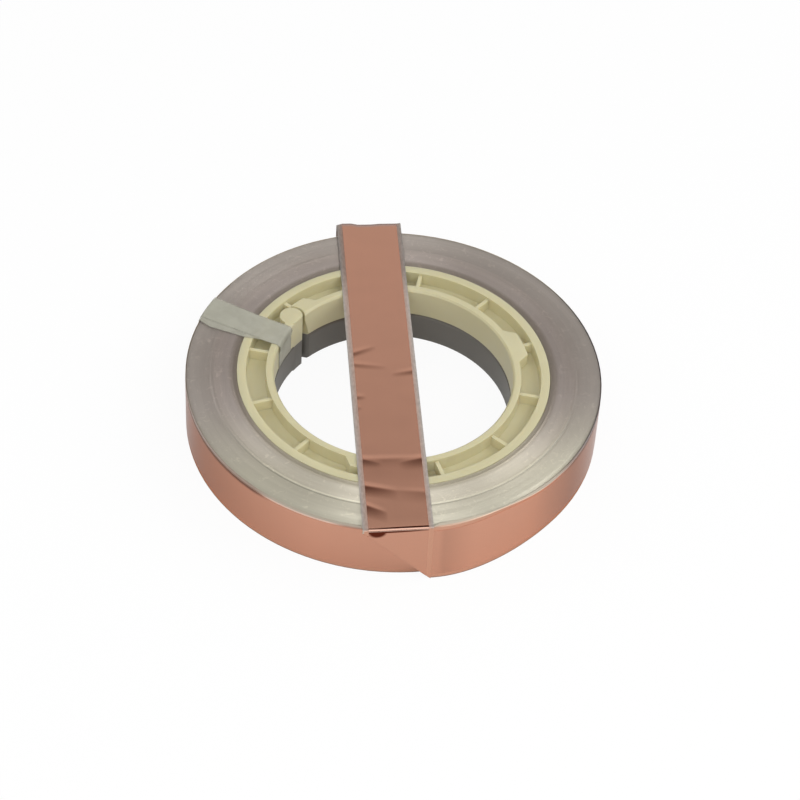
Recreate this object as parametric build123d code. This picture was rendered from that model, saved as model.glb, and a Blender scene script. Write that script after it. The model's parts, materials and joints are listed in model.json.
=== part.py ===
from build123d import *
import math
import os

# A roll of flat copper strip: copper foil laminated between two clear films, wound on a
# core of two moulded rings. Its free end is folded up at the front, bent over the rim and
# laid across the roll. Lengths are in millimetres and angles in degrees.
# Z is the roll's axis, z = 0 is the floor that the roll lies on, and the free end runs
# over the top towards +Y.

# The strip and the roll it is wound into
strip_width = 21.5
strip_thickness = 0.2
roll_diameter = 132.5
groove_width = 0.6          # a looser turn leaves such a groove on the roll's ends
groove_depth = 0.3
groove_places = (0.13, 0.51)    # where, as shares of the wound build from the core

# The free end
run_offset = -3.5           # centre line of the run across the top, along X
release_angle = -40.0       # where the last turn lifts off the roll
fold_standoff = 2.5         # front of the fold, ahead of the roll's surface
ridge_radius = 0.7          # bend over the near rim
run_overhang = 5.5          # how far the run goes past the roll at the back
run_lift = 0.4              # its creases hold the run this far above the roll's end
end_radius = 2.0            # bend at the back
end_drop = 6.5              # how far the end hangs below the run

# The two core rings
bore_diameter = 76.2
bore_wall = 2.5
channel_width = 6.4
rim_wall = 2.8
web_thickness = 1.75
channel_draft = 1.5
edge_break = 0.6            # on the bore's edges

# Radial ribs across the channel
rib_count = 12
rib_thickness = 1.2
rib_drop = 0.8              # rib edges lie below the walls' edges
rib_start = 15.0

# Pads that thicken the bore wall, each on a rib
pad_count = 3
pad_gap = 3.0               # left between a pad and the rim wall
pad_base_span = 21.3
pad_crown_span = 13.5

# The joint in one pad: a round knuckle in a socket, and a relief at the bore
knuckle_angle = 140.0
knuckle_diameter = 7.4
knuckle_clearance = 0.8
relief_reach = 2.5          # how deep the relief goes from the bore
relief_span = 8.4           # from the knuckle's centre to the relief's corner
relief_root_span = 6.2      # from the knuckle's centre to the relief's root
lip_span = 4.0              # the same at the upper ring's top, where a lip covers the relief

# The tape tab
tape_angle = 153.4
tape_thickness = 0.15
tape_outer_width = 13.0
tape_inner_width = 9.8
tape_outer_drop = 8.0
tape_seam_gap = 0.45        # between its inner end and the seam of the two rings

# What follows from them
roll_radius = roll_diameter / 2
bore_radius = bore_diameter / 2
ring_height = strip_width / 2
channel_inner = bore_radius + bore_wall
channel_outer = channel_inner + channel_width
core_radius = channel_outer + rim_wall
pad_radius = channel_outer - pad_gap
knuckle_radius = (bore_radius + pad_radius) / 2
cut_margin = 1.0


def polar(radius, angle):
    """Point at a radius and an angle in degrees, seen from above."""
    return (radius * math.cos(math.radians(angle)), radius * math.sin(math.radians(angle)))


def wound_strip():
    """All the wound turns as one turned solid, grooved on both ends."""
    build = roll_radius - core_radius
    section = Pos(core_radius + build / 2, strip_width / 2) * Rectangle(build, strip_width)
    groove = Polygon(
        (-groove_width / 2, 0), (0, -groove_depth), (groove_width / 2, 0), (0, groove_depth),
        align=None,
    )
    for place in groove_places:
        for end in (0, strip_width):
            section -= Pos(core_radius + place * build, end) * groove
    return revolve(Plane.XZ * section, Axis.Z)


def strip_free_end():
    """The loose turn, the 45-degree fold, the run across the top and its bent-down end."""
    fold_edge = run_offset + strip_width / 2
    fold_front = -(roll_radius + fold_standoff)
    behind_fold = fold_front + 1.5 * strip_thickness

    # The loose turn lifts off the roll and comes round to the back of the fold
    lift_off = polar(roll_radius + strip_thickness / 2, release_angle)
    heading = (math.sin(math.radians(release_angle)), -math.cos(math.radians(release_angle)))
    turn_line = TangentArc(lift_off, (fold_edge, behind_fold), tangent=heading)
    loose_turn = extrude(trace(turn_line, strip_thickness), strip_width)

    # Seen from the side: up the front, over the near rim, across, and down at the back
    front_line = fold_front + strip_thickness / 2
    run_height = strip_width + run_lift + strip_thickness / 2
    end_line = roll_radius + run_overhang
    side_line = FilletPolyline(
        (front_line, 0),
        (front_line, run_height),
        (end_line, run_height),
        (end_line, run_height - end_drop),
        radius=(ridge_radius, end_radius),
    )
    run = extrude(Plane.YZ * trace(side_line, strip_thickness), strip_width / 2, both=True)
    run = Pos(run_offset, 0, 0) * run

    # The fold's crease runs from its lower right corner to its upper left one
    corner = (fold_edge, 0)
    crease_top = (fold_edge - strip_width, strip_width)
    below_crease = Polygon(corner, crease_top, (fold_edge - strip_width, 0), align=None)
    above_crease = Polygon(corner, (fold_edge, strip_width), crease_top, align=None)
    run -= layer(below_crease, fold_front - cut_margin, fold_front + strip_thickness + cut_margin)
    second_layer = layer(above_crease, fold_front + strip_thickness, fold_front + 2 * strip_thickness)
    return run + second_layer + loose_turn


def layer(outline, front, back):
    """An upright layer with an outline in X and Z, from one Y to another."""
    return extrude(Plane.XZ.offset(-back) * outline, back - front)


def core_ring(lip):
    """One core ring with its foot at z = 0; lip is the relief's span at its top."""
    middle = ring_height / 2
    floor = web_thickness / 2
    lean = (middle - floor) * math.tan(math.radians(channel_draft))
    upper_half = Polygon(
        (bore_radius, 0),
        (bore_radius, middle - edge_break),
        (bore_radius + edge_break, middle),
        (channel_inner, middle),
        (channel_inner + lean, floor),
        (channel_outer - lean, floor),
        (channel_outer, middle),
        (core_radius, middle),
        (core_radius, 0),
        align=None,
    )
    section = upper_half + mirror(upper_half, Plane.XZ)
    ring = Pos(0, 0, middle) * revolve(Plane.XZ * section, Axis.Z)

    rib_inner = channel_inner - bore_wall / 2
    rib_outer = channel_outer + rim_wall / 2
    rib = Box(rib_outer - rib_inner, rib_thickness, ring_height - 2 * rib_drop)
    rib = Pos((rib_inner + rib_outer) / 2, 0, middle) * rib
    ring += [place * rib for place in PolarLocations(0, rib_count, start_angle=rib_start)]

    pad = extrude(pad_outline(), ring_height)
    ring += [place * pad for place in PolarLocations(0, pad_count, start_angle=rib_start)]

    ring -= joint_gap(lip)
    knuckle_centre = Pos(*polar(knuckle_radius, knuckle_angle), middle)
    ring += knuckle_centre * Cylinder(knuckle_diameter / 2, ring_height)
    ring -= Pos(0, 0, middle) * Cylinder(bore_radius, ring_height)
    return ring


def pad_outline():
    """A pad about the X axis, rooted in the middle of the bore wall."""
    root = bore_radius + bore_wall / 2
    base = pad_base_span / 2
    crown = pad_crown_span / 2
    sides = Polyline(
        polar(pad_radius, crown),
        polar(channel_inner, base),
        polar(root, base),
        polar(root, -base),
        polar(channel_inner, -base),
        polar(pad_radius, -crown),
    )
    top = ThreePointArc(polar(pad_radius, -crown), (pad_radius, 0), polar(pad_radius, crown))
    return make_face(sides + top)


def joint_gap(lip):
    """What is cut from a ring for its joint: half a socket and the relief at the bore."""
    tall = ring_height + 2 * cut_margin
    socket_radius = knuckle_diameter / 2 + knuckle_clearance
    half_disc = Circle(socket_radius) - Pos(0, socket_radius) * Rectangle(
        2 * socket_radius + cut_margin, 2 * socket_radius
    )
    at_knuckle = Rot(0, 0, knuckle_angle) * Pos(knuckle_radius, 0, -cut_margin)
    socket = extrude(at_knuckle * half_disc, tall)
    relief = loft([
        Pos(0, 0, 0) * relief_outline(relief_span),
        Pos(0, 0, ring_height) * relief_outline(lip),
    ])
    return socket + relief


def relief_outline(span):
    """The relief in plan, from the bore to the socket, with its corner at a span."""
    inside = bore_radius - cut_margin
    return Polygon(
        polar(inside, knuckle_angle),
        polar(knuckle_radius, knuckle_angle),
        polar(bore_radius + relief_reach, knuckle_angle - relief_root_span),
        polar(bore_radius, knuckle_angle - span),
        polar(inside, knuckle_angle - span),
        align=None,
    )


def tape_tab():
    """A tape bent over the roll's rim and into the bore, cut from a turned channel."""
    over = strip_width + tape_thickness
    side_line = Polyline(
        (roll_radius + tape_thickness, strip_width - tape_outer_drop),
        (roll_radius + tape_thickness, over),
        (bore_radius - tape_thickness, over),
        (bore_radius - tape_thickness, ring_height + tape_seam_gap),
        (bore_radius, ring_height + tape_seam_gap),
        (bore_radius, strip_width),
        (roll_radius, strip_width),
        (roll_radius, strip_width - tape_outer_drop),
        close=True,
    )
    channel = revolve(Plane.XZ * make_face(side_line), Axis.Z)
    reach_in = bore_radius - cut_margin * 4
    reach_out = roll_radius + cut_margin
    band = Polygon(
        (reach_in, -tape_inner_width / 2),
        (reach_out, -tape_outer_width / 2),
        (reach_out, tape_outer_width / 2),
        (reach_in, tape_inner_width / 2),
        align=None,
    )
    return channel & (Rot(0, 0, tape_angle) * extrude(band, over + cut_margin))


os.makedirs("parts", exist_ok=True)
parts = {
    "wound_strip": wound_strip(),
    "strip_free_end": strip_free_end(),
    "core_upper": Pos(0, 0, ring_height) * core_ring(lip_span),
    "core_lower": core_ring(relief_span),
    "tape_tab": tape_tab(),
}
for name, shape in parts.items():
    export_step(shape, f"parts/{name}.step")
    box = shape.bounding_box()
    print(name, len(shape.solids()), "solid,", round(shape.volume), "mm3", box.size)
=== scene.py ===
# %% [markdown]
# # A roll of flat copper strip, dressed in Blender
# The real thing is a conductor strip: copper foil laminated between two clear films, wound
# on a core of two moulded rings. The CAD model gives every size and place, and this lesson
# adds what the eye looks for: the turns, the foil, the film, the plastic and the tape.

# %% Load the frame
import json
import math

import bmesh
import bpy
import numpy as np
from mathutils import Matrix, Vector


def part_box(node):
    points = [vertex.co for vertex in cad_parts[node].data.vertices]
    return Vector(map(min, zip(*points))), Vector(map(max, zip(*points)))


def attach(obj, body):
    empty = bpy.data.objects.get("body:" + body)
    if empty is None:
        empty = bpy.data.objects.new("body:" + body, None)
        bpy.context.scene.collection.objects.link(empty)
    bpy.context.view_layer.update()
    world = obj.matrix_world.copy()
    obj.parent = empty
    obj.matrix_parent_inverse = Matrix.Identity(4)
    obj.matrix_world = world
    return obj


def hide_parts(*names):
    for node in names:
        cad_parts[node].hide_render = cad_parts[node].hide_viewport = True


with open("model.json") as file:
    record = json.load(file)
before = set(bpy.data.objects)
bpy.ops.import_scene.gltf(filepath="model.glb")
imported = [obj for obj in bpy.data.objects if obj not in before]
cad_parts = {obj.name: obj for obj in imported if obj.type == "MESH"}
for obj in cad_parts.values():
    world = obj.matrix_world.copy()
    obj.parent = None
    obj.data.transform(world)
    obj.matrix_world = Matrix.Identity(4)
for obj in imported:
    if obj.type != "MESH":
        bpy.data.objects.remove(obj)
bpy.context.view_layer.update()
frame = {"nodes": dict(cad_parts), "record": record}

# %% [markdown]
# ## Sizes from the frame
# The sizes come from the CAD nodes' boxes and from the record's bore, so the dressing
# follows the model. The few that no box gives are named here. Lengths in this script are
# in millimetres until a mesh is made, because the object is small.

# %% Sizes
MM = 0.001
bore_radius = frame["record"]["mounts"][0]["dims"]["r_mm"]
core_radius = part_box("core_upper")[1].x / MM
roll_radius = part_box("wound_strip")[1].x / MM
strip_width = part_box("wound_strip")[1].z / MM
fold_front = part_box("strip_free_end")[0].y / MM
run_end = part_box("strip_free_end")[1].y / MM
seam_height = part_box("core_lower")[1].z / MM
laminate = 0.2          # thickness of film, foil and film together
film = 0.1              # thickness of the two films where no foil lies between them
margins = (1.45, 1.8)   # clear film beside the foil, at its lower and its upper edge
run_centre = -3.5       # centre line of the run across the top, along X
fold_edge = run_centre + strip_width / 2
foil_top = strip_width - margins[1]
grooves = (51.2, 58.0)  # radii of the two grooves that looser turns leave on the roll's ends
groove_width = 0.6      # of each of a groove's two sides
print("roll", 2 * roll_radius, "mm across,", strip_width, "mm wide; core", 2 * core_radius)

# %% [markdown]
# ## The camera
# The photograph was taken with a long lens from 45 degrees above, and tilted a little. The
# camera stands where the outlines of the roll and its bore put it.

# %% Camera
camera_data = bpy.data.cameras.new("camera")
camera_data.lens = 119.03
camera_data.sensor_width = 36
camera_data.clip_start = 0.01
camera = bpy.data.objects.new("camera", camera_data)
bpy.context.scene.collection.objects.link(camera)
bpy.context.scene.camera = camera

camera_place = Vector((-67.94, -595.66, 611.0)) * MM
camera_target = Vector((3.53, 8.18, 0)) * MM
camera_tilt = math.radians(3.616)
camera.rotation_mode = "QUATERNION"
camera.location = camera_place
camera.rotation_quaternion = (camera_target - camera_place).to_track_quat("-Z", "Y")
camera.rotation_quaternion @= Matrix.Rotation(camera_tilt, 3, "Z").to_quaternion()
print("camera", [round(v, 3) for v in camera.location])

# %% [markdown]
# ## Small helpers
# Colours are written as the hex values that a painter would pick on screen, and one
# function turns them into the linear values that Blender works in. The second function adds
# a node to any tree, with its settings and its links. The others start a material, fill a
# colour ramp and put an object in the scene.

# %% Helpers
def colour(code):
    """An sRGB hex colour as linear RGBA."""
    shares = [int(code[i:i + 2], 16) / 255 for i in (1, 3, 5)]
    return (*[s / 12.92 if s <= 0.04045 else ((s + 0.055) / 1.055) ** 2.4 for s in shares], 1)


def add(tree, kind, inputs=None, **settings):
    """Adds a node, with settings on the node and values, sockets or nodes on its inputs."""
    made = tree.nodes.new(kind)
    for name, value in settings.items():
        setattr(made, name, value)
    for name, value in (inputs or {}).items():
        if isinstance(value, bpy.types.Node):       # linked by the first output that it has in use
            value = next(output for output in value.outputs if output.enabled)
        if isinstance(value, bpy.types.NodeSocket):
            tree.links.new(value, made.inputs[name])
        else:
            made.inputs[name].default_value = value
    return made


def material(name):
    """An empty material, and its node tree."""
    made = bpy.data.materials.new(name)
    made.use_nodes = True
    made.node_tree.nodes.clear()
    return made, made.node_tree


def set_stops(ramp, stops):
    """Gives a colour ramp stops below 1, from places and hex colours, for its own two."""
    elements = ramp.color_ramp.elements
    for place, code in stops:
        elements.new(place).color = colour(code)
    elements.remove(elements[0])
    elements.remove(elements[-1])
    return ramp


def in_scene(name, data):
    """A new object of a mesh or a lamp, linked to the scene."""
    made = bpy.data.objects.new(name, data)
    bpy.context.scene.collection.objects.link(made)
    return made


# %% [markdown]
# ## Floor and light
# The photograph has a white ground and soft light. The floor is a pale sheet that keeps the
# object's shadow, and camera and mirror rays also see it glow, so that it reads as white.

# %% Floor
floor_paint, tree = material("pale_floor")
rays = add(tree, "ShaderNodeLightPath")
mirror_or_glass = add(tree, "ShaderNodeMath", {
    0: rays.outputs["Is Glossy Ray"], 1: rays.outputs["Is Transmission Ray"]}, operation="MAXIMUM")
seen = add(tree, "ShaderNodeMath", {
    0: rays.outputs["Is Camera Ray"], 1: mirror_or_glass}, operation="MAXIMUM")
glow_share = add(tree, "ShaderNodeMapRange", {
    "Value": rays.outputs["Is Camera Ray"], "To Min": 0.2, "To Max": 0.93})
glow_seen = add(tree, "ShaderNodeMath", {0: seen, 1: glow_share}, operation="MULTIPLY")
paper = add(tree, "ShaderNodeBsdfDiffuse", {"Color": colour("#FAFAFA")})
glow = add(tree, "ShaderNodeEmission", {"Color": colour("#FFFFFF")})
mixed = add(tree, "ShaderNodeMixShader", {0: glow_seen, 1: paper, 2: glow})
add(tree, "ShaderNodeOutputMaterial", {"Surface": mixed})

floor_mesh = bpy.data.meshes.new("floor")
reach = 3.0
floor_mesh.from_pydata(
    [(-reach, -reach, 0), (reach, -reach, 0), (reach, reach, 0), (-reach, reach, 0)],
    [], [(0, 1, 2, 3)])
floor_mesh.materials.append(floor_paint)
floor = in_scene("floor", floor_mesh)
print("floor", 2 * reach, "m square")

# %% [markdown]
# Bright metal has no look of its own: it shows the room. The run across the top mirrors what
# stands behind the object at 45 degrees up, so the world there is a pale backdrop, with a
# darker ceiling above it and a darker horizon under it. Every crease then picks up one or
# the other. Camera rays see plain white.

# %% World
world = bpy.data.worlds.new("studio")
bpy.context.scene.world = world
world.use_nodes = True
tree = world.node_tree
tree.nodes.clear()
way = add(tree, "ShaderNodeTexCoord")
apart = add(tree, "ShaderNodeSeparateXYZ", {0: way.outputs["Generated"]})
backdrop = 1.0
for axis, dark, pale in (       # where the horizon, the ceiling and the room in front give way to it
    ("Z", 0.2, 0.36), ("Z", 0.8, 0.68), ("Y", -0.1, 0.2),
):
    share = add(tree, "ShaderNodeMapRange", {
        "Value": apart.outputs[axis], "From Min": dark, "From Max": pale}, interpolation_type="SMOOTHSTEP")
    backdrop = add(tree, "ShaderNodeMath", {0: backdrop, 1: share}, operation="MULTIPLY")
off_floor = add(tree, "ShaderNodeMapRange", {
    "Value": apart.outputs["Z"], "From Min": 0.05, "From Max": 0.4, "To Min": 0.12, "To Max": 0.32})
level = add(tree, "ShaderNodeMix", {0: backdrop, 2: off_floor, 3: 0.88})
room = add(tree, "ShaderNodeBackground", {"Color": colour("#FFFFFF"), "Strength": level})
white = add(tree, "ShaderNodeBackground", {"Color": colour("#FFFFFF")})
rays = add(tree, "ShaderNodeLightPath")
mixed = add(tree, "ShaderNodeMixShader", {0: rays.outputs["Is Camera Ray"], 1: room, 2: white})
add(tree, "ShaderNodeOutputWorld", {"Surface": mixed})
bpy.context.scene.view_settings.view_transform = "Standard"
print("world", world.name, "has", len(tree.nodes), "nodes")


# %% Lamps
def lamp(name, place, size, watts):
    """A square soft light aimed at the object."""
    data = bpy.data.lights.new(name, "AREA")
    data.shape = "SQUARE"
    data.size = size
    data.energy = watts
    made = in_scene(name, data)
    made.location = place
    made.rotation_mode = "QUATERNION"
    made.rotation_quaternion = (-Vector(place)).to_track_quat("-Z", "Y")


lamp("front_softbox", (0, -0.75, 0.9), 1.2, 7.4)
lamp("left_softbox", (-0.9, -0.1, 0.8), 0.8, 1.6)
lamp("right_softbox", (0.9, -0.1, 0.8), 0.8, 4.5)

# %% [markdown]
# ## The wound turns
# A wound strip is a spiral, so its shape follows one rule: each turn lies one thickness
# further out. Geometry Nodes draw the spiral and sweep the strip's section along it. The
# section's ends slope a little, as slit edges do, and have broken corners, which catch the
# light as the fine rings on the roll's ends. No roll winds perfectly true, so a noise that
# follows the turns lets some stand proud, and two looser turns leave a groove.

# %% The tree that winds the strip
wind = bpy.data.node_groups.new("wind_strip", "GeometryNodeTree")
kinds = {"Steps per Turn": "NodeSocketInt", "Material": "NodeSocketMaterial"}
for name in (
    "Core Radius", "Outer Radius", "Turns", "Steps per Turn", "Strip Width", "Strip Thickness",
    "Edge Slope", "Half Height", "Start Angle", "Edge Break", "Stray", "Group Width", "First Groove",
    "Second Groove", "Groove Width", "Groove Depth", "Outer Drop", "Seed", "Material",
):
    wind.interface.new_socket(name, in_out="INPUT", socket_type=kinds.get(name, "NodeSocketFloat"))
wind.interface.new_socket("Geometry", in_out="OUTPUT", socket_type="NodeSocketGeometry")
size = add(wind, "NodeGroupInput").outputs
spiral = add(wind, "GeometryNodeCurveSpiral", {
    "Resolution": size["Steps per Turn"], "Rotations": size["Turns"],
    "Start Radius": size["Core Radius"], "End Radius": size["Outer Radius"],
    "Height": 0.0, "Reverse": True})
upright = add(wind, "GeometryNodeSetCurveNormal", {"Curve": spiral}, mode="Z_UP")
half_thickness = add(wind, "ShaderNodeMath", {0: size["Strip Thickness"], 1: 0.5}, operation="MULTIPLY")
half_width = add(wind, "ShaderNodeMath", {0: size["Strip Width"], 1: 0.5}, operation="MULTIPLY")
low_side = add(wind, "ShaderNodeMath", {0: half_width, 1: size["Edge Slope"]}, operation="SUBTRACT")
corners = []
for side, height, turned in ((-1, low_side, -1), (1, half_width, -1), (1, half_width, 1), (-1, low_side, 1)):
    x = add(wind, "ShaderNodeMath", {0: half_thickness, 1: side}, operation="MULTIPLY")
    y = add(wind, "ShaderNodeMath", {0: height, 1: turned}, operation="MULTIPLY")
    corners.append(add(wind, "ShaderNodeCombineXYZ", {0: x, 1: y}))
section = add(wind, "GeometryNodeCurvePrimitiveQuadrilateral", {
    f"Point {i + 1}": corner for i, corner in enumerate(corners)}, mode="POINTS")
apart = add(wind, "ShaderNodeSeparateXYZ", {0: add(wind, "GeometryNodeInputPosition")})
outer_side = add(wind, "ShaderNodeMath", {0: apart.outputs["X"], 1: 0.0}, operation="GREATER_THAN")
cut_share = add(wind, "ShaderNodeMapRange", {"Value": outer_side, "To Min": 0.15})
cut = add(wind, "ShaderNodeMath", {0: cut_share, 1: size["Edge Break"]}, operation="MULTIPLY")
broken = add(wind, "GeometryNodeFilletCurve", {"Curve": section, "Radius": cut, "Count": 1}, mode="POLY")
swept = add(wind, "GeometryNodeCurveToMesh", {
    "Curve": upright, "Profile Curve": broken, "Fill Caps": True})
print("section with", len(corners), "corners")

# %% [markdown]
# The stray is a noise over the direction from the axis and the radius: it changes fast from
# turn to turn and slowly round a turn. The grooves are read from the radius alone. The outer
# turns have slipped down a little, mostly at the front left.

# %% The stray and the grooves
def from_the_axis(tree, place):
    """A place taken apart, its direction from the roll's axis and its distance from it."""
    apart = add(tree, "ShaderNodeSeparateXYZ", {0: place})
    flat = add(tree, "ShaderNodeCombineXYZ", {0: apart.outputs["X"], 1: apart.outputs["Y"]})
    radius = add(tree, "ShaderNodeVectorMath", {0: flat}, operation="LENGTH")
    way = add(tree, "ShaderNodeVectorMath", {0: flat}, operation="NORMALIZE")
    return apart, way, radius


def over_the_turns(tree, way, radius, group_width):
    """Places for a noise that changes slowly round the roll and fast from turn to turn."""
    rings = add(tree, "ShaderNodeMath", {0: radius, 1: group_width}, operation="DIVIDE")
    lane = add(tree, "ShaderNodeCombineXYZ", {2: rings})
    return add(tree, "ShaderNodeVectorMath", {0: way, 1: lane}, operation="ADD")


apart, way, radius = from_the_axis(wind, add(wind, "GeometryNodeInputPosition"))
walk = over_the_turns(wind, way, radius, size["Group Width"])
stray = add(wind, "ShaderNodeTexNoise", {
    "Vector": walk, "W": size["Seed"], "Scale": 1.0, "Roughness": 0.6},
    noise_dimensions="4D")
centred = add(wind, "ShaderNodeMapRange", {
    "Value": stray, "From Min": 0.25, "From Max": 0.75, "To Min": -1.0})
shift = add(wind, "ShaderNodeMath", {0: centred, 1: size["Stray"]}, operation="MULTIPLY")
above = add(wind, "ShaderNodeMath", {0: apart.outputs["Z"]}, operation="SIGN")
for groove in ("First Groove", "Second Groove"):
    off = add(wind, "ShaderNodeMath", {0: radius, 1: size[groove]}, operation="SUBTRACT")
    away = add(wind, "ShaderNodeMath", {0: off}, operation="ABSOLUTE")
    dip = add(wind, "ShaderNodeMapRange", {
        "Value": away, "From Max": size["Groove Width"], "To Min": size["Groove Depth"], "To Max": 0.0})
    inward = add(wind, "ShaderNodeMath", {0: dip, 1: above}, operation="MULTIPLY")
    shift = add(wind, "ShaderNodeMath", {0: shift, 1: inward}, operation="SUBTRACT")
outer_zone = add(wind, "ShaderNodeMapRange", {
    "Value": radius, "From Min": size["Second Groove"], "From Max": size["Outer Radius"]})
slip_angle = math.radians(230)      # where the outer turns have slipped down furthest
slip_range = (0.45, 0.9)            # cosines of the angle from there, at the least slip and the most
least_slip = 0.15
slip_way = (math.cos(slip_angle), math.sin(slip_angle), 0)
towards = add(wind, "ShaderNodeVectorMath", {0: way, 1: slip_way}, operation="DOT_PRODUCT")
slipped = add(wind, "ShaderNodeMapRange", {
    "Value": towards, "From Min": slip_range[0], "From Max": slip_range[1], "To Min": least_slip})
upper_end = add(wind, "ShaderNodeMath", {0: apart.outputs["Z"], 1: 0.0}, operation="GREATER_THAN")
drop = size["Outer Drop"]
for part in (outer_zone, slipped, upper_end):
    drop = add(wind, "ShaderNodeMath", {0: drop, 1: part}, operation="MULTIPLY")
shift = add(wind, "ShaderNodeMath", {0: shift, 1: drop}, operation="SUBTRACT")
raised = add(wind, "ShaderNodeMath", {0: shift, 1: size["Half Height"]}, operation="ADD")
offset = add(wind, "ShaderNodeCombineXYZ", {2: raised})
turn = add(wind, "ShaderNodeCombineXYZ", {2: size["Start Angle"]})
turned = add(wind, "GeometryNodeTransform", {"Geometry": swept, "Rotation": turn})
moved = add(wind, "GeometryNodeSetPosition", {"Geometry": turned, "Offset": offset})
real = add(wind, "GeometryNodeRealizeInstances", {0: moved})
painted = add(wind, "GeometryNodeSetMaterial", {"Geometry": real, "Material": size["Material"]})
add(wind, "NodeGroupOutput", {"Geometry": painted})
print("tree", wind.name, "has", len(wind.nodes), "nodes")

# %% [markdown]
# ## The finish of the roll's ends
# An end of the roll is hundreds of slit edges, foil between films: half metal, half clear
# polyester. It gives the eye a satin grey with a copper warmth, in rings that differ a
# little from turn to turn. The rings are a noise that runs fast with the radius and slowly
# round it. The turns are 0.2 mm, too fine to show, so the rings here are wider groups of
# turns. Next to the core the edges are painted darker, as painted shade. A painted cast
# stands in for the light: violet at the sides and the back and yellowish in front, where
# the outer groove has a painted highlight on its inner side and painted shade on its outer
# side. Small bright specks are painted glints.
# The faces on the roll's side are copper seen through film.

# %% Material of the roll's ends
def off_the_middle(tree, place):
    """How far a place lies from the middle of the strip's width."""
    off_middle = add(tree, "ShaderNodeMath", {0: place, 1: strip_width / 2 * MM}, operation="SUBTRACT")
    return add(tree, "ShaderNodeMath", {0: off_middle}, operation="ABSOLUTE")


turn_edges, tree = material("slit_edges_of_foil_and_film")
place = add(tree, "ShaderNodeTexCoord").outputs["Object"]
apart, way, radius = from_the_axis(tree, place)
tones = []
for group_width, detail in ((2.6 * MM, 1.0), (0.55 * MM, 2.0)):
    walk = over_the_turns(tree, way, radius, group_width)
    tones.append(add(tree, "ShaderNodeTexNoise", {"Vector": walk, "Scale": 1.0, "Detail": detail}))
tone = add(tree, "ShaderNodeMix", {0: 0.4, 2: tones[0], 3: tones[1]})
build_share = add(tree, "ShaderNodeMapRange", {
    "Value": radius, "From Min": core_radius * MM, "From Max": roll_radius * MM})
# Painted shade: the stops next to the core are darker, for the shade beside the core's rim.
edges = set_stops(add(tree, "ShaderNodeValToRGB", {0: build_share}), (      # from the core outwards
    (0.0, "#A99E90"), (0.1, "#B2A79B"), (0.18, "#C7BDB4"), (0.45, "#C7BDB3"), (0.53, "#C5BCB2"),
    (0.9, "#CDC5BB"), (0.99, "#C0B8AE")))
in_front = add(tree, "ShaderNodeMapRange", {
    "Value": apart.outputs["Y"], "From Min": -0.2 * roll_radius * MM, "From Max": -0.65 * roll_radius * MM})
# Painted highlight and painted shade: in front, the outer groove's inner side is painted light and its outer
# side dark.
for side, code in ((-1, "#DDD4C9"), (1, "#A79F95")):        # the outer groove's inner and outer side
    side_centre = (grooves[1] + side * groove_width / 2) * MM
    on_side = add(tree, "ShaderNodeMath", {
        0: radius, 1: side_centre, 2: groove_width / 2 * MM}, operation="COMPARE")
    painted_groove_side = add(tree, "ShaderNodeMath", {0: on_side, 1: in_front}, operation="MULTIPLY")
    edges = add(tree, "ShaderNodeMix", {0: painted_groove_side, 6: edges, 7: colour(code)}, data_type="RGBA")
# Painted cast: violet at the back and the sides, yellowish in front, standing in for the light.
painted_cast = add(tree, "ShaderNodeMix", {
    0: in_front, 6: colour("#FAFBFF"), 7: colour("#F7FBF2")}, data_type="RGBA")
painted_cast_edges = add(tree, "ShaderNodeMix", {
    0: 1.0, 6: edges, 7: painted_cast}, data_type="RGBA", blend_type="MULTIPLY")
brightness = add(tree, "ShaderNodeMapRange", {
    "Value": tone, "From Min": 0.3, "From Max": 0.7, "To Min": 0.99, "To Max": 1.12})
# Painted glints: small specks on the slit edges are painted lighter.
slivers = add(tree, "ShaderNodeTexNoise", {
    "Vector": place, "Scale": 1 / 0.0022, "Distortion": 1.5})
painted_sliver_glint = add(tree, "ShaderNodeMapRange", {
    "Value": slivers, "From Min": 0.6, "From Max": 0.72, "To Max": 0.16})
tone_with_painted_glints = add(tree, "ShaderNodeMath", {0: brightness, 1: painted_sliver_glint}, operation="ADD")
edge_colour = add(tree, "ShaderNodeHueSaturation", {"Color": painted_cast_edges, "Value": tone_with_painted_glints})
on_end = add(tree, "ShaderNodeMapRange", {
    "Value": off_the_middle(tree, apart.outputs["Z"]), "From Min": (strip_width / 2 - 2.1) * MM,
    "From Max": (strip_width / 2 - 1.9) * MM})
paint = add(tree, "ShaderNodeMix", {0: on_end, 6: colour("#9A6A50"), 7: edge_colour}, data_type="RGBA")
gloss = add(tree, "ShaderNodeMapRange", {
    "Value": tones[0], "From Min": 0.35, "From Max": 0.65, "To Min": 0.48, "To Max": 0.34})
shader = add(tree, "ShaderNodeBsdfPrincipled", {
    "Base Color": paint, "Metallic": 0.65, "Roughness": gloss})
add(tree, "ShaderNodeOutputMaterial", {"Surface": shader})
print(turn_edges.name, "has", len(tree.nodes), "nodes")


# %% [markdown]
# The tree's result becomes a plain mesh. The spiral's last point has to lie where the
# strip leaves the roll, so the mesh is turned about the roll's axis.

# %% Wind the strip
def grown(group, name, values):
    """Runs a geometry tree with values for its named inputs and keeps a plain mesh."""
    host = in_scene(name, bpy.data.meshes.new(name))
    modifier = host.modifiers.new("tree", "NODES")
    modifier.node_group = group
    for item in group.interface.items_tree:
        if item.name in values:
            modifier[item.identifier] = values[item.name]
    seen_by = bpy.context.evaluated_depsgraph_get()
    mesh = bpy.data.meshes.new_from_object(host.evaluated_get(seen_by), depsgraph=seen_by)
    host.modifiers.remove(modifier)
    host.data = mesh
    mesh.name = name
    return host


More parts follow.
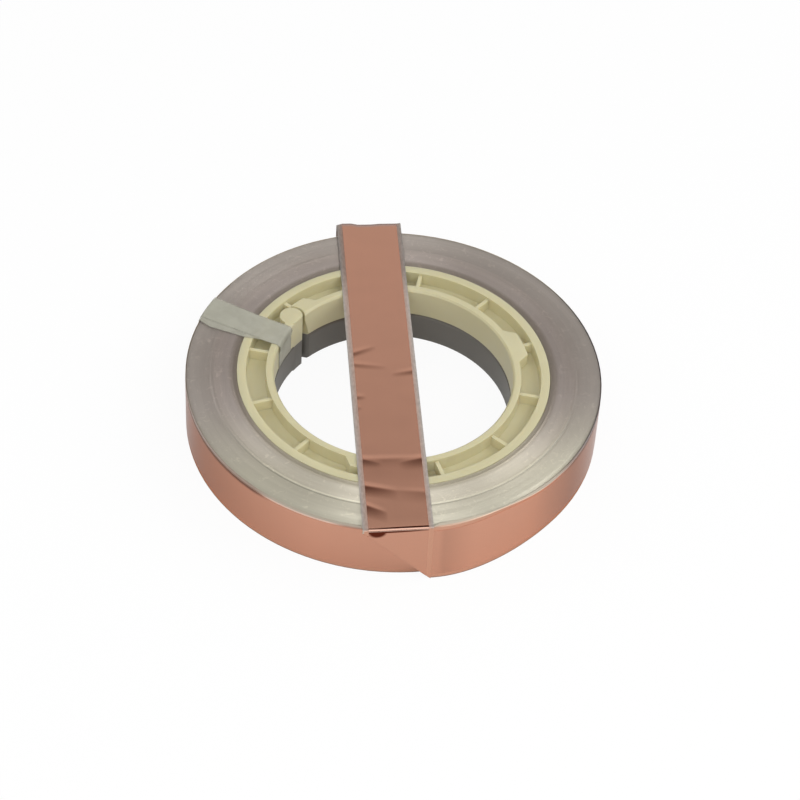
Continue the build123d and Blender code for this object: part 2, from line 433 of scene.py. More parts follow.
release_angle = math.radians(-40)       # where the free end lifts off the roll
innermost = core_radius + laminate / 2
outermost = roll_radius - 1.5 * laminate
turns = (outermost - innermost) / laminate
wound = grown(wind, "wound_turns", {
    "Core Radius": innermost * MM, "Outer Radius": outermost * MM,
    "Turns": turns, "Steps per Turn": 96, "Strip Width": (strip_width - 0.3) * MM,
    "Strip Thickness": 0.95 * laminate * MM, "Edge Slope": 0.015 * MM,
    "Half Height": strip_width / 2 * MM, "Start Angle": release_angle + math.tau * turns,
    "Edge Break": 0.7 * laminate * MM, "Stray": 0.05 * MM, "Group Width": 1.8 * MM,
    "First Groove": grooves[0] * MM, "Second Groove": grooves[1] * MM, "Groove Width": groove_width * MM,
    "Groove Depth": 0.13 * MM, "Outer Drop": 1.45 * MM, "Seed": 3.0, "Material": turn_edges})
wound.data.shade_smooth()
wound.data.set_sharp_from_angle(angle=math.radians(30))
print("wound turns", round(turns, 1), "faces", len(wound.data.polygons))
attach(wound, "root")
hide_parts("wound_strip")

# %% [markdown]
# ## The free end
# The outermost turn and the free end are one length of the same strip. It is described as it
# lies unrolled: "along" runs down its length from the fold, and "across" over its width.
# Seen from above, the last turn follows the roll, lifts off it and curves out to the fold.

# %% The turn that leaves the roll, seen from above
fold_lean = 0.042       # the fold leans back towards its top, mm per mm
turn_lean = 0.075       # the loose turn behind it leans back more, mm per mm
fold_skew = 0.033       # and the fold stands out towards its left, mm per mm
fold_gap = 0.3          # between the fold's two layers at its lower right tip
gap_growth = 0.02       # the layers part towards the upper left, mm per mm
turn_droop = 1.5        # how far the outermost turn has slipped down at the front left
droop_fade = 25         # length of the loose turn over which that ends
turn_pull = 0.31        # how far the loose turn's ends keep their direction, as a share of its span
lean_height = 0.5       # of the film that leans over the loose turn's gap
lean_over = 1.1         # how far it leans, as a share of the gap
lean_start = strip_width - lean_height
front_line = fold_front + laminate / 2

lift_off = np.array([math.cos(release_angle), math.sin(release_angle)])
lift_way = np.array([math.sin(release_angle), -math.cos(release_angle)])
arrive = np.array([fold_edge, front_line + fold_gap])
arrive_way = np.array([-1.0, -fold_skew])
lift_off *= roll_radius - laminate / 2
pull = turn_pull * np.linalg.norm(arrive - lift_off)
share = np.linspace(0, 1, 60)[:, None]
loose_line = ((1 - share) ** 3 * lift_off + 3 * (1 - share) ** 2 * share * (lift_off + pull * lift_way)
              + 3 * (1 - share) * share ** 2 * (arrive - pull * arrive_way) + share ** 3 * arrive)
loose_steps = np.linalg.norm(np.diff(loose_line, axis=0), axis=1)
loose_reach = np.concatenate([[0], np.cumsum(loose_steps)])
loose_length = loose_reach[-1]
turn_length = loose_length + math.tau * roll_radius
print("loose turn", round(loose_length, 1), "mm long, with the last wound one", round(turn_length, 1))


def ease(value, low, high):
    """0 below low, 1 above high, and smooth between them."""
    share = np.clip((value - low) / (high - low), 0, 1)
    return share * share * (3 - 2 * share)


def on_the_turn(along, height):
    """Where the strip lies before the fold; along is negative there."""
    left = along + loose_length
    x = np.interp(left, loose_reach, loose_line[:, 0])
    y = np.interp(left, loose_reach, loose_line[:, 1])
    y = y + turn_lean * height * ease(left / loose_length, 0.2, 0.6)
    angle = release_angle - left / roll_radius
    clear = roll_radius - laminate / 2
    radius = clear + laminate * left / (math.tau * roll_radius)
    wound_on = left < 0
    x = np.where(wound_on, radius * np.cos(angle), x)
    y = np.where(wound_on, radius * np.sin(angle), y)
    reach = np.hypot(x, y)
    push = np.where(wound_on, 1, np.maximum(clear / reach, 1))
    gap = np.maximum(reach * push - clear, 0)
    lean = np.where(wound_on, 0, lean_over * gap) * np.clip((height - lean_start) / lean_height, 0, 1)
    push = push - lean * (1 - ease(along, -1.5, 0)) / reach
    slip = np.interp(np.cos(angle - slip_angle), slip_range, (least_slip, 1))
    sink = turn_droop * slip * (1 - ease(left, 0, droop_fade))
    return np.stack([x * push, y * push, height * (1 - sink / strip_width)], -1)


# %% [markdown]
# At the fold the strip turns up by 45 degrees, climbs the front of the roll, bends over the
# near rim, crosses the roll and bends down at the back. Seen from the side that is one line,
# and the easiest way to draw it is by how steep it is at each length along it: the places
# follow by adding up small steps. The bend over the rim was pressed to a ridge, which stands
# a little above the run behind it.

# %% The fold and the run, seen from the side
near_bend = [           # length up the side line past the strip's width, and how steep it is there
    (-strip_width, 90 - math.degrees(fold_lean)), (-0.21, 90 - math.degrees(fold_lean)), (0.09, 64),
    (0.29, 44), (0.59, 38), (0.74, 5), (0.89, -20), (1.44, -18), (1.74, -1), (5.5, 0)]
near_bend = [(strip_width + past, slope) for past, slope in near_bend]
level_start = near_bend[-1][0]
skew_fade = 40          # length of the run over which the fold's skew ends
end_radius = 2.0        # of the bend at the back
hanging = 4.3           # how much of the end hangs straight down
wave_reach = 12         # length before the bend at the back over which its waves begin
end_waves = (           # place across, and how far short of the longest place the bend is
    (0, 0), (1.6, 0.35), (7, 0.35), (10, 0.65), (14.4, 0.65), (16.6, 0), (19.6, 0), (21.5, 0.6))

steps = np.linspace(0, level_start, 1500)
steep = np.radians(np.interp(steps, *np.array(near_bend).T))
near_y = np.concatenate([[0], np.cumsum(np.cos(steep[1:]) * np.diff(steps))])
level_length = run_end - laminate / 2 - end_radius - near_y[-1] - front_line
end_start = level_start + level_length
end_finish = end_start + end_radius * math.pi / 2
strip_end = end_finish + hanging
bends = (*near_bend, (end_start, 0), (end_finish, -90), (strip_end, -90))
steps = np.linspace(0, strip_end, 20000)
steep = np.radians(np.interp(steps, *np.array(bends).T))
gaps = np.diff(steps, prepend=0)
line_y = front_line + np.cumsum(np.cos(steep) * gaps)
line_z = np.cumsum(np.sin(steep) * gaps)
print("run at", round(line_z.max(), 2), "mm; strip", round(strip_end, 1), "mm from fold to end")


def on_the_run(along, across_x, height, depth):
    """Where the strip lies from the fold on, at a length up the side line and a depth in it."""
    slope = np.interp(height, steps, steep)
    y = np.interp(height, steps, line_y) + depth * np.sin(slope)
    z = np.interp(height, steps, line_z) - depth * np.cos(slope)
    fade = 1 - ease(height, strip_width, strip_width + skew_fade)
    y = y - fold_skew * (fold_edge - across_x) * fade
    short = np.interp(fold_edge - across_x, *np.array(end_waves).T)
    y = y - short * ease(height, end_start - wave_reach, end_start)
    on_run = ease(height, level_start - 4, level_start) * (1 - ease(height, end_start - 3, end_start))
    z = z + crease_rise(across_x, y) * on_run
    return np.stack([across_x, y, z], -1)


# %% [markdown]
# Handling has left creases along both edges of the run: short ramps that rise towards the
# back and break off at a sharp crest, deepest at the edge. Each one tips the mirror of the
# foil away from the bright backdrop and shows as a dark wedge, which painted shade on the
# foil deepens.

# %% Creases of the run
creases = (     # edge (-1 is the left one), place, reach inwards, slant, rise and width of the ramp
    (-1, 7.4, 9, 3.6, 0.2, 2.0), (-1, 3.4, 12, -1.8, 0.12, 2.0), (1, -0.2, 8, -1.4, 0.16, 2.0),
    (-1, -11.6, 4.5, 0.0, 0.2, 1.4), (-1, -16.4, 3.0, 0.0, 0.16, 1.2), (-1, -38.2, 8, -2.4, 0.24, 3.2),
    (1, -38.4, 9, -2.0, 0.24, 5.0), (-1, -38.6, 28, 0.2, 0.1, 4.0), (-1, -38.8, 60, 0.0, 0.06, 11.0),
    (-1, -49.4, 12, -2.8, 0.28, 4.6), (-1, -57.0, 8, -4.0, 0.26, 5.0), (1, -53.0, 14, 1.5, 0.08, 5.0))
highest_crease = 0.28   # the strip's top is then as high as the ridge
crest_fall = 1.5        # length of the short slope behind a crest
crest_round = 0.5       # the crests are rounded over this length to either side


def crease_ramps(x, y):
    """Each crease's height, its ramp and how far behind its crest a place lies."""
    for edge, place, reach_in, slant, height, width in creases:
        share = (strip_width / 2 - edge * (x - run_centre)) / reach_in
        behind = y - (place + slant * share)
        ramp = np.clip(1 + behind / width, 0, 1) ** 2 * np.clip(1 - share, 0, 1)
        yield height, ramp, behind


def crease_rise(x, y):
    """How far the creases lift the run at a place."""
    rise = 0 * x
    for nearby in (-crest_round, 0, crest_round):
        for height, ramp, behind in crease_ramps(x, y + nearby):
            rise = rise + height / 3 * ramp * np.clip(1 - behind / crest_fall, 0, 1)
    return np.minimum(rise, highest_crease)


def crease_painted_shade(x, y):
    """How much painted shade a crease puts on the foil at a place: most at a crest and none behind it."""
    crease_shade_share = 0 * x
    for height, ramp, behind in crease_ramps(x, y):
        before_crest = np.clip(0.5 - behind / 0.8, 0, 1)
        crease_shade_share = np.maximum(crease_shade_share, height / highest_crease * np.sqrt(ramp) * before_crest)
    return crease_shade_share


# %% [markdown]
# The unrolled strip is cut into rows that follow its creases: straight across on the turn
# and the run, and fanned round the fold's 45-degree crease, so that no crease runs across
# a face. Foil and film are then shells over the same rows, each with its own columns.

# %% Rows and columns of the unrolled strip
lower_columns = np.linspace(0, margins[0], 4)
foil_columns = np.linspace(margins[0], foil_top, 33)
upper_columns = np.array((
    foil_top, foil_top + 0.5, lean_start - 0.05, lean_start, lean_start + lean_height / 2, strip_width))
across = np.concatenate([lower_columns[:-1], foil_columns, upper_columns[1:]])
bend_start = near_bend[1][0]
crease = np.minimum(across, bend_start - 0.3)
before_fold = -6.0

places = []
turn_rows = np.concatenate([
    np.linspace(-turn_length, -loose_length, 121)[:-1], np.linspace(-loose_length, before_fold, 40)[:-1]])
for length in turn_rows:
    along = np.full_like(across, length)
    places.append((on_the_turn(along, across), along))
for part in np.linspace(0, 1, 16):
    along = before_fold + part * (crease - before_fold)
    x = fold_edge - along
    leaning = (turn_lean - fold_lean) * across * (1 - ease(along, 0, np.maximum(crease, 0.5)))
    depth = fold_gap + gap_growth * np.maximum(along, 0) + leaning
    turned_in = on_the_turn(np.minimum(along, 0), across)
    folded = on_the_run(along, x, across, depth)
    places.append((np.where(along[:, None] < 0, turned_in, folded), along))
crease_gap = fold_gap + gap_growth * crease
for step in range(1, 8):
    bend = math.pi * step / 8
    part = (1 - math.cos(bend)) / 2
    out = crease_gap / 2 * math.sin(bend) / math.sqrt(2)
    x = (fold_edge - crease) * (1 - part) + (fold_edge - across) * part - out
    height = across * (1 - part) + crease * part - out
    places.append((on_the_run(crease, x, height, crease_gap * (1 - part)), crease + 0.1 * part))
for part in np.linspace(0, 1, 16):
    along = crease + 0.1 + part * (bend_start - crease - 0.1)
    places.append((on_the_run(along, fold_edge - across, along, 0 * across), along))
bend_end = near_bend[-2][0]
tail_rows = np.concatenate([
    np.linspace(bend_start, bend_end, 36)[1:], np.linspace(bend_end, end_start, 400)[1:],
    np.linspace(end_start, end_finish, 12)[1:], np.linspace(end_finish, strip_end, 4)[1:]])
for length in tail_rows:
    along = np.full_like(across, length)
    places.append((on_the_run(along, fold_edge - across, along, 0 * across), along))
points = np.array([p for p, _ in places])
lengths = np.array([a for _, a in places])
on_top = (lengths > bend_end) & (lengths < end_start)
crease_shade_share = crease_painted_shade(points[..., 0], points[..., 1]) * on_top
print("rows", len(points), "columns", len(across), "strip end at", points[-1, 0].round(1))


# %% Shells over the rows
def grid_faces(rows, columns):
    """The numbers of a grid's points, and the faces between them."""
    numbers = np.arange(rows * columns).reshape(rows, columns)
    corners = (numbers[:-1, :-1], numbers[:-1, 1:], numbers[1:, 1:], numbers[1:, :-1])
    return numbers, np.stack([corner.ravel() for corner in corners], 1)


def shell(name, first, last, thickness):
    """A closed thin sheet over some of the columns, with its unrolled place as a UV map."""
    grid = points[:, first:last]
    offset = normals[:, first:last] * thickness / 2
    rows, columns = grid.shape[:2]
    corners = np.concatenate([(grid + offset).reshape(-1, 3), (grid - offset).reshape(-1, 3)])
    corners[:, 2] = np.maximum(corners[:, 2], 0)
    count = rows * columns
    numbers, upper_side = grid_faces(rows, columns)
    faces = [upper_side, upper_side[:, ::-1] + count]
    rim = np.concatenate([numbers[0, :-1], numbers[:-1, -1], numbers[-1, :0:-1], numbers[:0:-1, 0]])
    after = np.roll(rim, -1)
    faces.append(np.stack([after, rim, rim + count, after + count], 1))
    mesh = bpy.data.meshes.new(name)
    mesh.from_pydata((corners * MM).tolist(), [], np.concatenate(faces).tolist())
    flat = np.stack([lengths[:, first:last], np.broadcast_to(across[first:last], (rows, columns))], -1)
    flat = np.concatenate([flat.reshape(-1, 2)] * 2) * MM
    unrolled = mesh.uv_layers.new(name="unrolled")
    owners = np.empty(len(mesh.loops), int)
    mesh.loops.foreach_get("vertex_index", owners)
    unrolled.data.foreach_set("uv", flat[owners].ravel())
    painted_crease_shade = mesh.attributes.new("painted_crease_shade", "FLOAT", "POINT")
    painted_crease_shade.data.foreach_set("value", np.tile(crease_shade_share[:, first:last].ravel(), 2))
    mesh.shade_smooth()
    mesh.set_sharp_from_angle(angle=math.radians(50))
    print(name, "faces", len(mesh.polygons))
    return in_scene(name, mesh)


normals = np.cross(np.gradient(points, axis=0), np.gradient(points, axis=1))
normals /= np.linalg.norm(normals, axis=2, keepdims=True)
foil_start = len(lower_columns) - 1
foil_end = foil_start + len(foil_columns)
foil = shell("copper_foil", foil_start, foil_end, laminate)
lower_film = shell("film_margin_lower", 0, foil_start + 1, film)
upper_film = shell("film_margin_upper", foil_end - 1, len(across), film)

# %% [markdown]
# ## Copper under film
# The foil is rolled copper, bright and smooth, with fine lines along the way it was rolled.
# The clear film over it adds a second, sharper gloss, which is what a coat is for. The
# outermost turn mirrors a different side of the room at each place, and that is painted
# into its colour as a painted reflection that drifts along its length. It is given by the
# angle round the roll.

# %% Copper foil
def drift(tree, along, stops):
    """A colour that drifts along the outermost turn, from stops of angle and hex colour."""
    share = add(tree, "ShaderNodeMapRange", {"Value": along, "From Min": -turn_length * MM, "From Max": 0.0})
    places = []
    for angle, code in stops:
        length = loose_length + (math.radians(angle) - release_angle) * roll_radius
        places.append((1 - length / turn_length, code))
    return set_stops(add(tree, "ShaderNodeValToRGB", {0: share}), places)


copper, tree = material("rolled_copper_foil_under_film")
unrolled = add(tree, "ShaderNodeUVMap", uv_map="unrolled")
apart = add(tree, "ShaderNodeSeparateXYZ", {0: unrolled})
drawn_out = add(tree, "ShaderNodeMapping", {"Vector": unrolled, "Scale": (1 / 0.05, 1 / 0.0009, 1)})
lines = add(tree, "ShaderNodeTexNoise", {"Vector": drawn_out, "Scale": 1.0})
line_level = add(tree, "ShaderNodeMapRange", {"Value": lines, "To Min": 0.98, "To Max": 1.02})
# Painted reflection: the foil's colour is darker or lighter at each angle round the roll.
painted_reflection_drift = drift(tree, apart.outputs["X"], (
    (318, "#C69077"), (262, "#C69077"), (245, "#CE967C"), (225, "#C58F76"), (208, "#B5836D"),
    (192, "#A4745F"), (180, "#9A6E5B"), (160, "#BE8A71"), (40, "#BE8A71"), (20, "#9A6E5B"),
    (-15, "#9A7362"), (-36, "#A37968"),
    (-46, "#BD8C76"), (-54, "#CE967C"), (-73, "#CE967C"), (-78, "#C48E75"), (-81.5, "#BA876F"),
    (-83, "#C69077")))
tint = add(tree, "ShaderNodeHueSaturation", {"Color": painted_reflection_drift, "Value": line_level})
waves = add(tree, "ShaderNodeTexNoise", {"Vector": unrolled, "Scale": 1 / 0.012, "Detail": 1.0})
ripple = add(tree, "ShaderNodeBump", {"Height": waves, "Strength": 0.4, "Distance": 0.0002})


# %% [markdown]
# Where the foil was pinched at the ridge, a pocket under its left end and thin lines along
# both its sides show copper mirrored in copper, far darker and redder than the foil; that
# is a painted reflection. The ridge is painted paler, a painted highlight, and the creases
# of the run get painted shade. At the left front and at the right the foil's upper edge lies
# in the shade of what is above it, and that shade is painted. Where the run bends down at
# the back, a painted reflection turns the foil greyish mauve.

# %% Painted reflections, highlight and shade on the foil
ridge_foot = bend_start + 0.1
ridge_back = bend_start + 0.9
# Painted reflection: dark red copper mirrored in copper at the pinched ridge.
painted_dark_reflection = 0.0
for foot, place, depth, half_width, side in (     # two in front of the ridge and one behind it
    (ridge_foot, foil_top - 2.7, 2.6, 3.0, "LESS_THAN"),
    (ridge_foot, foil_top - 2.0, 0.7, 18.0, "LESS_THAN"),
    (ridge_back, margins[0], 0.9, 18.0, "GREATER_THAN"),
):
    stretched = add(tree, "ShaderNodeMapping", {
        "Vector": unrolled, "Location": (foot * MM, place * MM, 0),
        "Scale": (depth * MM, half_width * MM, 1)}, vector_type="TEXTURE")
    away = add(tree, "ShaderNodeVectorMath", {0: stretched}, operation="LENGTH")
    inside = add(tree, "ShaderNodeMapRange", {
        "Value": away, "From Min": 0.75, "From Max": 1.05, "To Min": 1.0, "To Max": 0.0})
    beside = add(tree, "ShaderNodeMath", {0: apart.outputs["X"], 1: foot * MM}, operation=side)
    one_dark_reflection = add(tree, "ShaderNodeMath", {0: inside, 1: beside}, operation="MULTIPLY")
    painted_dark_reflection = add(tree, "ShaderNodeMath", {0: painted_dark_reflection, 1: one_dark_reflection}, operation="MAXIMUM")
# Painted shade: the foil is darker at the creases of the run.
painted_crease_shade = add(tree, "ShaderNodeAttribute", attribute_name="painted_crease_shade")
# Painted reflection: where the run bends down at the back, the foil is greyish mauve.
at_end = add(tree, "ShaderNodeMapRange", {
    "Value": apart.outputs["X"], "From Min": (end_start - 0.9) * MM, "From Max": (end_start + 0.3) * MM})
bend_reflection_tint = add(tree, "ShaderNodeMix", {0: at_end, 6: tint, 7: colour("#AE948C")}, data_type="RGBA")
# Painted shade: the foil's upper edge is darker where it lies in the shade, at the left front and at the
# right.
at_upper_edge = add(tree, "ShaderNodeMapRange", {
    "Value": apart.outputs["Y"], "From Min": (foil_top - 1.3) * MM, "From Max": (foil_top - 0.5) * MM})
shaded_length = drift(tree, apart.outputs["X"], (
    (318, "#000000"), (231, "#000000"), (226, "#FFFFFF"), (195, "#FFFFFF"), (180, "#000000"),
    (20, "#000000"), (5, "#FFFFFF"), (-34, "#FFFFFF"), (-42, "#000000"), (-80, "#000000")))
shaded = add(tree, "ShaderNodeMath", {0: at_upper_edge, 1: shaded_length}, operation="MULTIPLY")
shaded_tint = add(tree, "ShaderNodeMix", {0: shaded, 6: bend_reflection_tint, 7: colour("#7A5342")}, data_type="RGBA")
crease_shade_tint = add(tree, "ShaderNodeMix", {
    0: painted_crease_shade.outputs["Fac"], 6: shaded_tint, 7: colour("#6A3322")}, data_type="RGBA")
# Painted highlight: the ridge is painted paler.
on_ridge = add(tree, "ShaderNodeMath", {
    0: apart.outputs["X"], 1: (bend_start + 0.5) * MM, 2: 0.4 * MM}, operation="COMPARE")
ridge_highlight_tint = add(tree, "ShaderNodeMix", {
    0: on_ridge, 6: crease_shade_tint, 7: colour("#B48F7E")}, data_type="RGBA")
foil_colour = add(tree, "ShaderNodeMix", {
    0: painted_dark_reflection, 6: ridge_highlight_tint, 7: colour("#5A281B")}, data_type="RGBA")
dulled = add(tree, "ShaderNodeMath", {0: painted_dark_reflection, 1: painted_crease_shade.outputs["Fac"]}, operation="MAXIMUM")
coat = add(tree, "ShaderNodeMapRange", {"Value": dulled, "To Min": 0.5, "To Max": 0.0})
shader = add(tree, "ShaderNodeBsdfPrincipled", {
    "Base Color": foil_colour, "Metallic": 1.0, "Roughness": 0.27,
    "Specular Tint": colour("#D8B8A8"), "Normal": ripple,
    "Coat Weight": coat, "Coat Roughness": 0.12})
add(tree, "ShaderNodeOutputMaterial", {"Surface": shader})
foil.data.materials.append(copper)

# %% [markdown]
# The margins are the same film with no foil in it: polyester, clear and a little hazy. On the
# turns it lies on copper and takes the copper's look. On the run it stands free, and there it
# was creased and scratched in use, so it shows as a silvery haze.

# %% Film margins
clear_film, tree = material("clear_polyester_film")
unrolled = add(tree, "ShaderNodeUVMap", uv_map="unrolled")
apart = add(tree, "ShaderNodeSeparateXYZ", {0: unrolled})
free = add(tree, "ShaderNodeMapRange", {
    "Value": apart.outputs["X"], "From Min": ridge_foot * MM, "From Max": ridge_back * MM},
    interpolation_type="SMOOTHSTEP")
to_rim = add(tree, "ShaderNodeMapRange", {
    "Value": off_the_middle(tree, apart.outputs["Y"]), "From Min": (strip_width / 2 - 1.6) * MM,
    "From Max": (strip_width / 2 - 0.2) * MM})
clean = add(tree, "ShaderNodeMix", {
    0: to_rim, 6: colour("#B6998B"), 7: colour("#B0A8A1")}, data_type="RGBA")
length_share = add(tree, "ShaderNodeMapRange", {"Value": apart.outputs["X"], "From Max": strip_end * MM})
# Painted light: the haze is darker over the back part of the run, where it mirrors less light.
painted_light_levels = set_stops(add(tree, "ShaderNodeValToRGB", {0: length_share}), (        # from the fold to the end
    (0.14, "#F8F8F8"), (0.74, "#FFFFFF"), (0.83, "#CCCCCC"), (0.945, "#D2D2D2"), (0.97, "#F4F4F4")))
scuffs = add(tree, "ShaderNodeMapping", {"Vector": unrolled, "Scale": (1 / 0.0016, 1 / 0.0007, 1)})
scuff = add(tree, "ShaderNodeTexNoise", {"Vector": scuffs, "Scale": 1.0})
scuff_level = add(tree, "ShaderNodeMapRange", {
    "Value": scuff, "From Min": 0.3, "From Max": 0.7, "To Min": 0.84, "To Max": 1.12})
# Painted light: the right margin is a little lighter than the left.
painted_side_light = add(tree, "ShaderNodeMapRange", {
    "Value": apart.outputs["Y"], "From Max": strip_width * MM, "To Min": 1.04, "To Max": 0.96})
side_level = add(tree, "ShaderNodeMath", {0: scuff_level, 1: painted_side_light}, operation="MULTIPLY")
dimmed = add(tree, "ShaderNodeMix", {
    0: 1.0, 6: clean, 7: painted_light_levels}, data_type="RGBA", blend_type="MULTIPLY")
hazy = add(tree, "ShaderNodeHueSaturation", {"Color": dimmed, "Value": side_level})

# %% [markdown]
# On the turns the upper margin shows a line at the foil's edge, a painted highlight where the
# edge stands free and painted shade where it lies in the shade, and beyond it the beige of the
# turns behind it, darker with painted shade at the left front, and at the right painted shade
# for the dark of a gap. The loose turn's margin leans over its own gap, and only its upper
# part is beige. By the floor the lowest strip of the margin on the turns is painted darker,
# as painted shade.

# %% Film margins on the turns
gap_opens = 32          # length of the loose turn over which the gap behind it opens
leaning_from, line_width = [add(tree, "ShaderNodeMapRange", {
    "Value": apart.outputs["X"], "From Min": -loose_length * MM, "From Max": (gap_opens - loose_length) * MM,
    "To Min": at_lift_off * MM, "To Max": at_gap * MM})
    for at_lift_off, at_gap in ((foil_top, lean_start), (0.75, 0.2))]
past_bend = add(tree, "ShaderNodeMath", {0: apart.outputs["Y"], 1: leaning_from}, operation="SUBTRACT")
leaning = add(tree, "ShaderNodeMapRange", {
    "Value": past_bend, "From Min": -0.05 * MM, "From Max": 0.05 * MM})
past_line = add(tree, "ShaderNodeMath", {0: past_bend, 1: line_width}, operation="GREATER_THAN")
# Painted highlight and painted shade along the foil's edge, by the angle round the roll.
edge_line = drift(tree, apart.outputs["X"], (
    (318, "#C9AE9C"), (268, "#AD8D7C"), (253, "#B08F7E"), (249, "#E0C2B0"), (231, "#DDBFAC"),
    (227, "#8C6E5E"), (190, "#86695A"), (170, "#C9AE9C"), (40, "#C9AE9C"), (20, "#5A4640"),
    (-28, "#6A5248"), (-38, "#A08272"), (-50, "#D8BCA6"), (-60, "#F6D8BE"), (-70, "#F6D8BE"),
    (-76, "#D6B7A2"), (-82, "#C9A892")))
# The beige of the turns behind, with painted shade at the left front and for the gap at the right.
beyond_line = drift(tree, apart.outputs["X"], (
    (318, "#B4AA9A"), (231, "#B4AA9A"), (226, "#A08E7F"), (190, "#97887A"), (170, "#B4AA9A"),
    (40, "#B4AA9A"), (20, "#4A3C38"), (-28, "#4A3C38"), (-38, "#7E6C60"), (-45, "#B4AA9A"),
    (-60, "#C4BAA9"), (-80, "#BDB3A2")))
lip_colour = add(tree, "ShaderNodeMix", {0: past_line, 6: edge_line, 7: beyond_line}, data_type="RGBA")
# Painted shade: the lowest strip of the margin on the turns, by the floor, is darker.
low = add(tree, "ShaderNodeMath", {0: apart.outputs["Y"], 1: 0.35 * MM}, operation="LESS_THAN")
before = add(tree, "ShaderNodeMath", {0: apart.outputs["X"], 1: 0.0}, operation="LESS_THAN")
floor_shade_mask = add(tree, "ShaderNodeMath", {0: low, 1: before}, operation="MULTIPLY")
on_copper = add(tree, "ShaderNodeMix", {
    0: floor_shade_mask, 6: colour("#CB9981"), 7: colour("#A08274")}, data_type="RGBA")
on_turns = add(tree, "ShaderNodeMix", {0: leaning, 6: on_copper, 7: lip_colour}, data_type="RGBA")
look = add(tree, "ShaderNodeMix", {0: free, 6: on_turns, 7: hazy}, data_type="RGBA")
clear_share = add(tree, "ShaderNodeMath", {0: free, 1: leaning}, operation="MAXIMUM")
metal = add(tree, "ShaderNodeMapRange", {"Value": clear_share, "To Min": 1.0, "To Max": 0.0})
haze = add(tree, "ShaderNodeMapRange", {"Value": free, "To Min": 1.0, "To Max": 0.9})
shader = add(tree, "ShaderNodeBsdfPrincipled", {
    "Base Color": look, "Metallic": metal, "Roughness": 0.28, "IOR": 1.5,
    "Specular Tint": colour("#D8B8A8"), "Alpha": haze})
add(tree, "ShaderNodeOutputMaterial", {"Surface": shader})
for piece in (lower_film, upper_film):
    piece.data.materials.append(clear_film)
for piece in (foil, lower_film, upper_film):
    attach(piece, "root")
    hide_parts("strip_free_end")

# %% [markdown]
# ## The core rings
# The two rings are injection mouldings, a cream one on a grey one. No moulded edge is
# perfectly sharp, and its small round is what draws a light line along it. A CAD node is
# never changed, so each ring gets a copy with its loose triangles joined and its edges
# rounded, and the copy stands for the node.

# %% Rounded copies of the rings
def rounded(name, node, radius):
    """A copy of a moulded node with rounded edges."""
    shape = bmesh.new()
    shape.from_mesh(frame["nodes"][node].data)
    bmesh.ops.remove_doubles(shape, verts=shape.verts, dist=0.001 * MM)
    bmesh.ops.dissolve_limit(shape, angle_limit=math.radians(1), verts=shape.verts, edges=shape.edges)
    edges = [e for e in shape.edges if e.calc_face_angle(0) > math.radians(35)]
    bmesh.ops.bevel(
        shape, geom=edges, offset=radius * MM, offset_type="OFFSET", segments=2, profile=0.5,
        affect="EDGES", clamp_overlap=True)
    mesh = bpy.data.meshes.new(name)
    shape.to_mesh(mesh)
    shape.free()
    mesh.shade_smooth()
    mesh.set_sharp_from_angle(angle=math.radians(30))
    made = in_scene(name, mesh)
    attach(made, "root")
    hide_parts(node)
    print(name, "has", len(edges), "rounded edges and", len(mesh.polygons), "faces")
    return made


upper_ring = rounded("ring_upper", "core_upper", 0.25)
lower_ring = rounded("ring_lower", "core_lower", 0.25)

# %% [markdown]
# Moulded plastic gives the eye an even colour, a soft sheen and a fine grain from the
# mould's surface. The cream one also lets light in a few millimetres deep, which brightens
# its channel.

# %% Moulded plastics
for name, ring, plain, warm, depth_share in (
    ("cream_moulded_polystyrene", upper_ring, "#CAC29B", "#D0C9A4", 0.35),
    ("grey_moulded_polystyrene", lower_ring, "#625F5A", "#6D6A64", 0.0),
):
    plastic, tree = material(name)
    place = add(tree, "ShaderNodeTexCoord").outputs["Object"]
    clouds = add(tree, "ShaderNodeTexNoise", {"Vector": place, "Scale": 1 / 0.02, "Detail": 3.0})
    shade = add(tree, "ShaderNodeMix", {0: clouds, 6: colour(plain), 7: colour(warm)}, data_type="RGBA")
    grain = add(tree, "ShaderNodeTexNoise", {"Vector": place, "Scale": 1 / 0.0006})
    grained = add(tree, "ShaderNodeBump", {"Height": grain, "Strength": 0.15, "Distance": 0.00005})
    shader = add(tree, "ShaderNodeBsdfPrincipled", {
        "Base Color": shade, "Roughness": 0.38, "IOR": 1.55, "Normal": grained,
        "Subsurface Weight": depth_share, "Subsurface Radius": (1.0, 0.8, 0.5),
        "Subsurface Scale": 0.003})
    add(tree, "ShaderNodeOutputMaterial", {"Surface": shader})
    ring.data.materials.clear()
    ring.data.materials.append(plastic)
    print(name, "on", ring.name)

# %% [markdown]
# ## The tape tab
# A piece of adhesive film tape holds the turns: it comes up over the rim, crosses the roll's
# end, bridges the bore's edge and goes down inside. Two lengths lie one on the other, a bit
# askew, so two strips of one function, each with its own edges, make it.

# %% Tape strips
tape_angle = math.radians(152.8)
tape_film = 0.05
over_roll = strip_width + 0.1
tape_line = (           # radius and height of the tape's path, from its outer end inwards
    (roll_radius + 0.1, strip_width - 8), (roll_radius + 0.1, over_roll - 0.3),
    (roll_radius - 0.2, over_roll), (bore_radius + 1.0, over_roll), (bore_radius + 0.2, over_roll - 0.1),
    (bore_radius - 0.4, over_roll - 0.5), (bore_radius - 0.6, over_roll - 1.5),
    (bore_radius - 0.15, over_roll - 4), (bore_radius - 0.15, seam_height + 0.45))


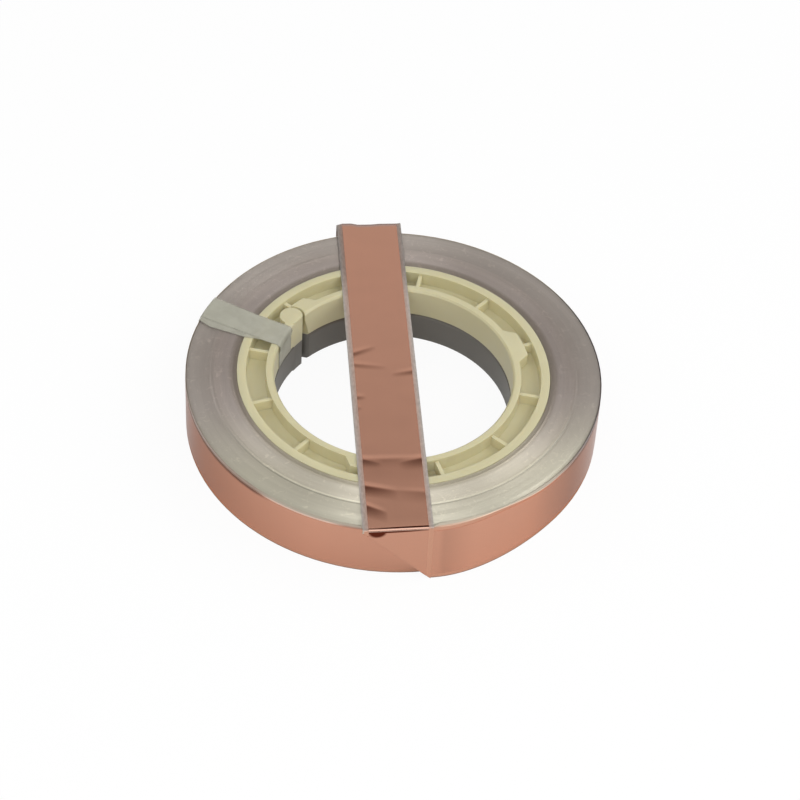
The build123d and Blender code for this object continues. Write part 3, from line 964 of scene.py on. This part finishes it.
def tape(name, radii, upper_edge, lower_edge, height):
    """A strip of tape along its path, between edges given as offsets at some radii."""
    line = np.array(tape_line)
    lengths = np.concatenate([[0], np.cumsum(np.hypot(*np.diff(line, axis=0).T))])
    at = np.linspace(0, lengths[-1], 140)
    radius = np.interp(at, lengths, line[:, 0])
    level = np.interp(at, lengths, line[:, 1])
    high = np.interp(radius, radii, upper_edge)
    low = np.interp(radius, radii, lower_edge)
    share = np.linspace(0, 1, 16)
    off = high[:, None] * (1 - share) + low[:, None] * share
    angle = tape_angle - np.arcsin(off / radius[:, None])
    out = radius[:, None] + height
    grid = np.stack([out * np.cos(angle), out * np.sin(angle), level[:, None] + height + 0 * off], -1)
    mesh = bpy.data.meshes.new(name)
    mesh.from_pydata((grid.reshape(-1, 3) * MM).tolist(), [], grid_faces(*off.shape)[1].tolist())
    made = in_scene(name, mesh)
    thick = made.modifiers.new("thickness", "SOLIDIFY")
    thick.thickness = tape_film * MM
    thick.offset = 0
    mesh.shade_smooth()
    return made


upper_tape = tape("tape_upper", (36, 41, 50, 66), (4.2, 4.3, 4.6, 6.2), (-5.5, -5.4, -4.9, -4.1), 0.06)
lower_tape = tape("tape_lower", (36, 45, 50, 57.5, 62, 66), (3.8, 3.9, 4.0, 4.6, 4.9, 5.2),
                  (-5.3, -5.4, -6.6, -6.9, -7.1, -5.7), 0.0)

# %% Tape material
tape_paint, tree = material("adhesive_film_tape")
place = add(tree, "ShaderNodeTexCoord").outputs["Object"]
rumple = add(tree, "ShaderNodeTexNoise", {"Vector": place, "Scale": 1 / 0.005})
rumpled = add(tree, "ShaderNodeBump", {"Height": rumple, "Strength": 0.5, "Distance": 0.0005})
bubbles = add(tree, "ShaderNodeMapRange", {
    "Value": rumple, "From Min": 0.35, "From Max": 0.65, "To Min": 0.4, "To Max": 0.52})
shader = add(tree, "ShaderNodeBsdfPrincipled", {
    "Base Color": colour("#CAC8B8"), "Roughness": 0.3, "IOR": 1.5, "Alpha": bubbles,
    "Normal": rumpled})
add(tree, "ShaderNodeOutputMaterial", {"Surface": shader})
for piece in (upper_tape, lower_tape):
    piece.data.materials.append(tape_paint)
    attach(piece, "root")
    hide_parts("tape_tab")
